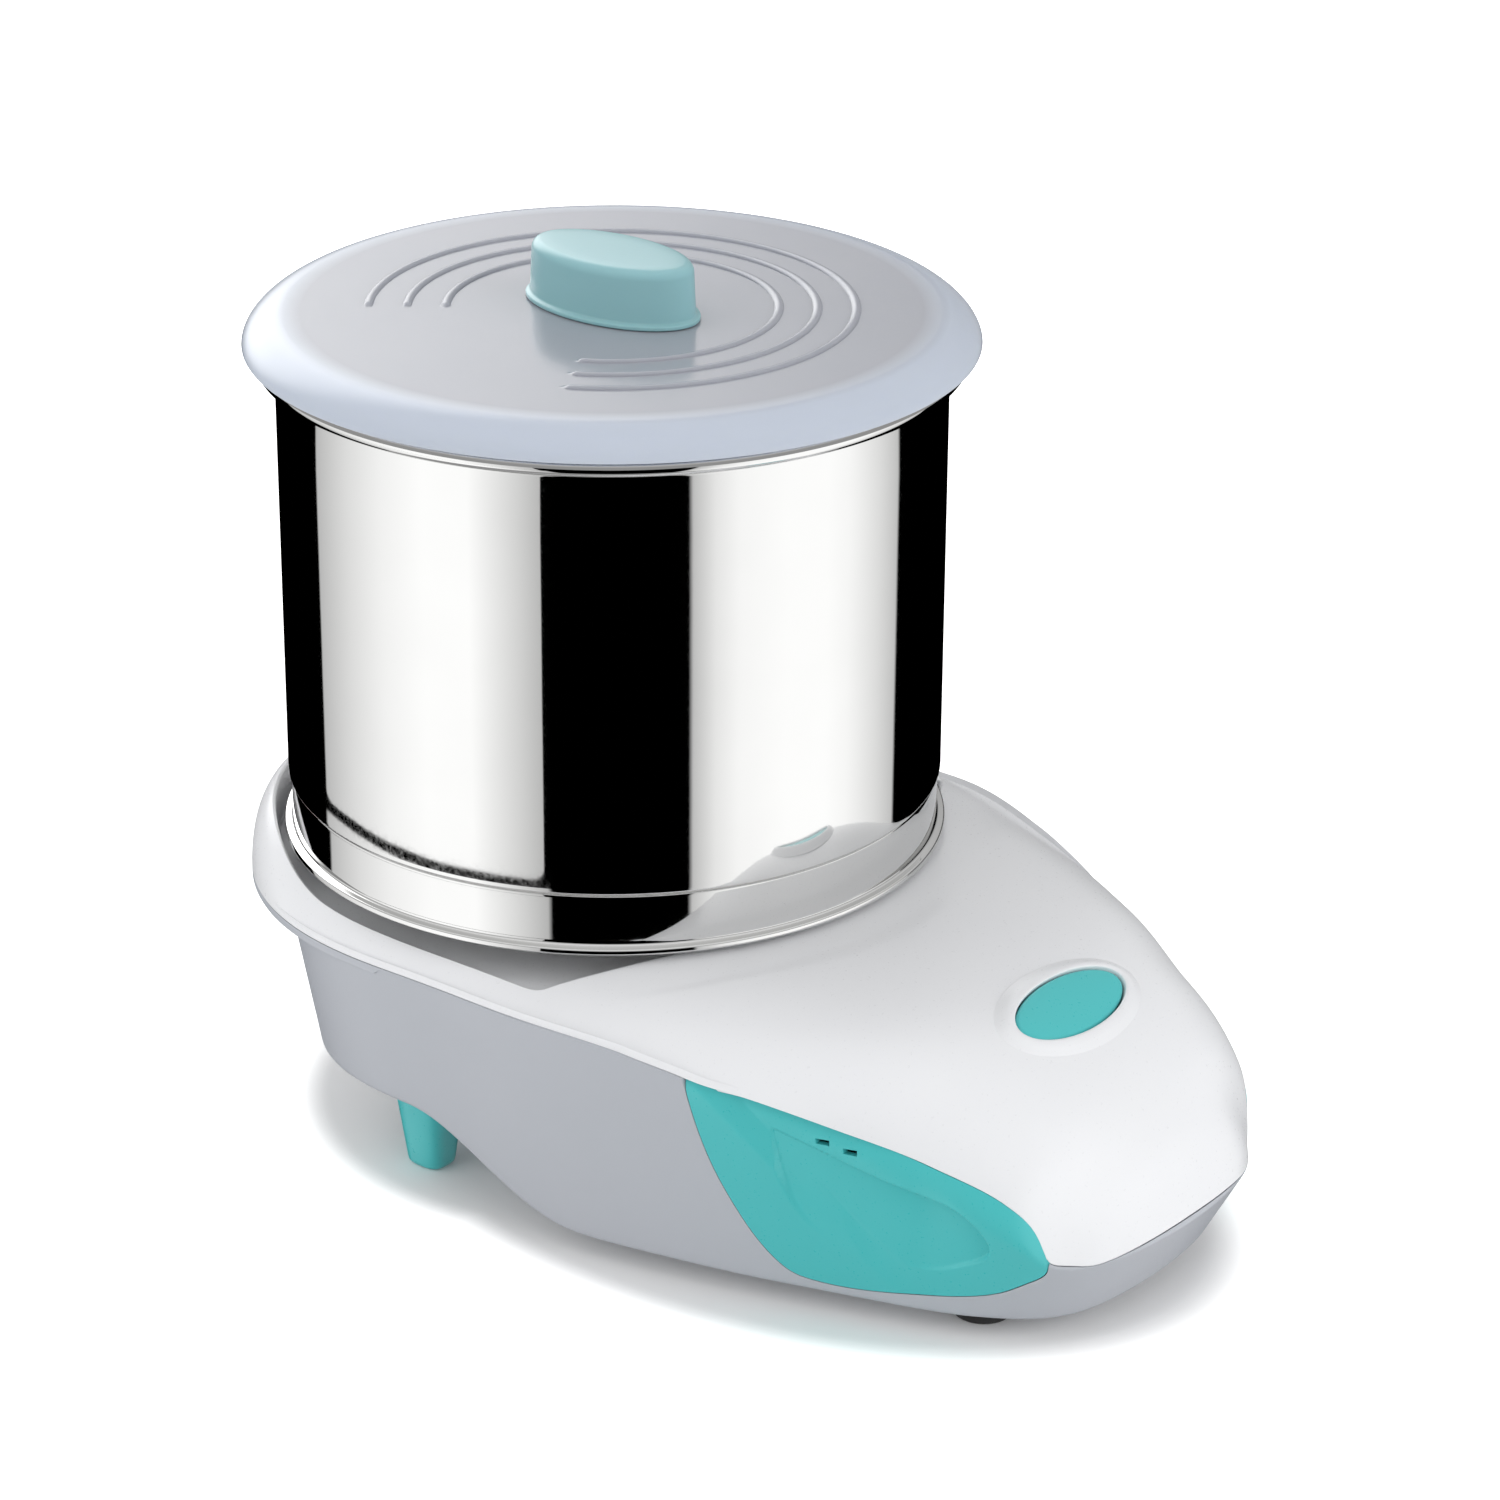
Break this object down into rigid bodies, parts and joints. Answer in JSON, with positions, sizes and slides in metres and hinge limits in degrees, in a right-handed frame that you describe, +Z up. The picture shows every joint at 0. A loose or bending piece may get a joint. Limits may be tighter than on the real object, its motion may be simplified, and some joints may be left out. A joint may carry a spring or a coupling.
{
  "type": "wet grinder",
  "caption": "Table-top wet grinder: a lidded steel drum with conical roller stones, turned by a belt drive in a moulded base with a start button on its nose.",
  "frame": {"origin": "centre of the bounding box, on the surface that the feet stand on", "axes": "+Z up, the nose with the start button points along -Y, +X is to the left of someone who faces the nose"},
  "size_m": [0.2406, 0.3648, 0.3041],
  "materials": {
    "white_plastic": "satin moulded ABS",
    "grey_plastic": "satin moulded ABS",
    "teal_plastic": "gloss moulded ABS",
    "handle_plastic": "gloss moulded ABS",
    "milky_plastic": "frosted translucent polypropylene",
    "black_plastic": "moulded nylon",
    "natural_nylon": "moulded nylon",
    "rubber": "moulded rubber",
    "mirror_steel": "mirror-polished stainless steel",
    "bright_steel": "turned steel",
    "cast_aluminium": "as cast",
    "granite": "dressed granite",
    "copper": "lacquered copper windings",
    "laminations": "stacked steel laminations",
    "capacitor_film": "moulded plastic can"
  },
  "bodies": {
    "base": {"base_pan": "grey_plastic", "top_cover": "white_plastic", "side_panel_left": "teal_plastic", "side_panel_right": "teal_plastic", "rear_foot_left": "teal_plastic", "rear_foot_right": "teal_plastic", "front_pad_left": "rubber", "front_pad_right": "rubber", "case_screw_1": "bright_steel", "case_screw_2": "bright_steel", "case_screw_3": "bright_steel", "case_screw_4": "bright_steel", "button_spring": "bright_steel", "start_switch": "black_plastic", "cord_gland": "black_plastic", "terminal_block": "natural_nylon", "capacitor": "capacitor_film", "capacitor_strap": "bright_steel", "motor_lower_bell": "cast_aluminium", "motor_stator": "laminations", "motor_winding_lower": "copper", "motor_winding_upper": "copper", "motor_upper_bell": "cast_aluminium", "motor_mount_1": "rubber", "motor_mount_2": "rubber", "motor_mount_3": "rubber", "motor_screw_1": "bright_steel", "motor_screw_2": "bright_steel", "motor_screw_3": "bright_steel", "drive_belt": "rubber", "shaft_base": "cast_aluminium", "centre_shaft": "bright_steel", "hub_seal": "rubber"},
    "drive": {"drive_pulley": "cast_aluminium", "drive_bearing_lower": "bright_steel", "drive_bearing_upper": "bright_steel", "drive_hub": "cast_aluminium", "hub_screw_1": "bright_steel", "hub_screw_2": "bright_steel", "hub_screw_3": "bright_steel"},
    "rotor": {"motor_rotor": "bright_steel", "motor_fan": "black_plastic", "motor_pulley": "bright_steel"},
    "button": {"start_button": "teal_plastic"},
    "drum": {"drum_shell": "mirror_steel", "drum_base_ring": "mirror_steel", "drum_coupling": "natural_nylon", "drum_centre_tube": "bright_steel", "drum_base_stone": "granite"},
    "carrier": {"stone_carrier": "bright_steel", "roller_axle_left": "bright_steel", "roller_axle_right": "bright_steel", "batter_scraper": "natural_nylon"},
    "knob": {"carrier_lock_knob": "black_plastic"},
    "roller_left": {"roller_stone_left": "granite", "roller_bush_left": "natural_nylon"},
    "roller_right": {"roller_stone_right": "granite", "roller_bush_right": "natural_nylon"},
    "lid": {"lid": "milky_plastic", "lid_handle": "handle_plastic"}
  },
  "joints": [
    {"name": "drum_spin", "type": "hinge", "parent": "base", "child": "drum", "pos_m": [0, 0.05839, 0.11], "axis": [0, 0, 1], "continuous": true},
    {"name": "drive_spin", "type": "hinge", "parent": "base", "child": "drive", "pos_m": [0, 0.05839, 0.077], "axis": [0, 0, 1], "continuous": true},
    {"name": "rotor_spin", "type": "hinge", "parent": "base", "child": "rotor", "pos_m": [0, -0.08161, 0.05], "axis": [0, 0, 1], "continuous": true},
    {"name": "button_press", "type": "slide", "parent": "base", "child": "button", "axis": [0, 0.4226, -0.9063], "range_m": [0, 0.0025], "stiffness_N_per_m": 600, "springref_m": -0.002, "deforming": ["button_spring"]},
    {"name": "carrier_lift", "type": "slide", "parent": "base", "child": "carrier", "axis": [0, 0, 1], "range_m": [0, 0.057]},
    {"name": "knob_turn", "type": "hinge", "parent": "carrier", "child": "knob", "pos_m": [0, 0.05839, 0.21], "axis": [0, 0, 1], "range_deg": [0, 90]},
    {"name": "roller_left_spin", "type": "hinge", "parent": "carrier", "child": "roller_left", "pos_m": [-0.05299, 0.05839, 0.15399], "axis": [-0.9135, 0, 0.4067], "continuous": true},
    {"name": "roller_right_spin", "type": "hinge", "parent": "carrier", "child": "roller_right", "pos_m": [0.05299, 0.05839, 0.15399], "axis": [0.9135, 0, 0.4067], "continuous": true},
    {"name": "lid_lift", "type": "slide", "parent": "drum", "child": "lid", "axis": [0, 0, 1], "range_m": [0, 0.11]}
  ],
  "couplings": [
    {"joint": "drive_spin", "follows": "drum_spin", "ratio": 1},
    {"joint": "rotor_spin", "follows": "drum_spin", "ratio": 10},
    {"joint": "roller_left_spin", "follows": "drum_spin", "ratio": 2.4586},
    {"joint": "roller_right_spin", "follows": "drum_spin", "ratio": 2.4586}
  ]
}
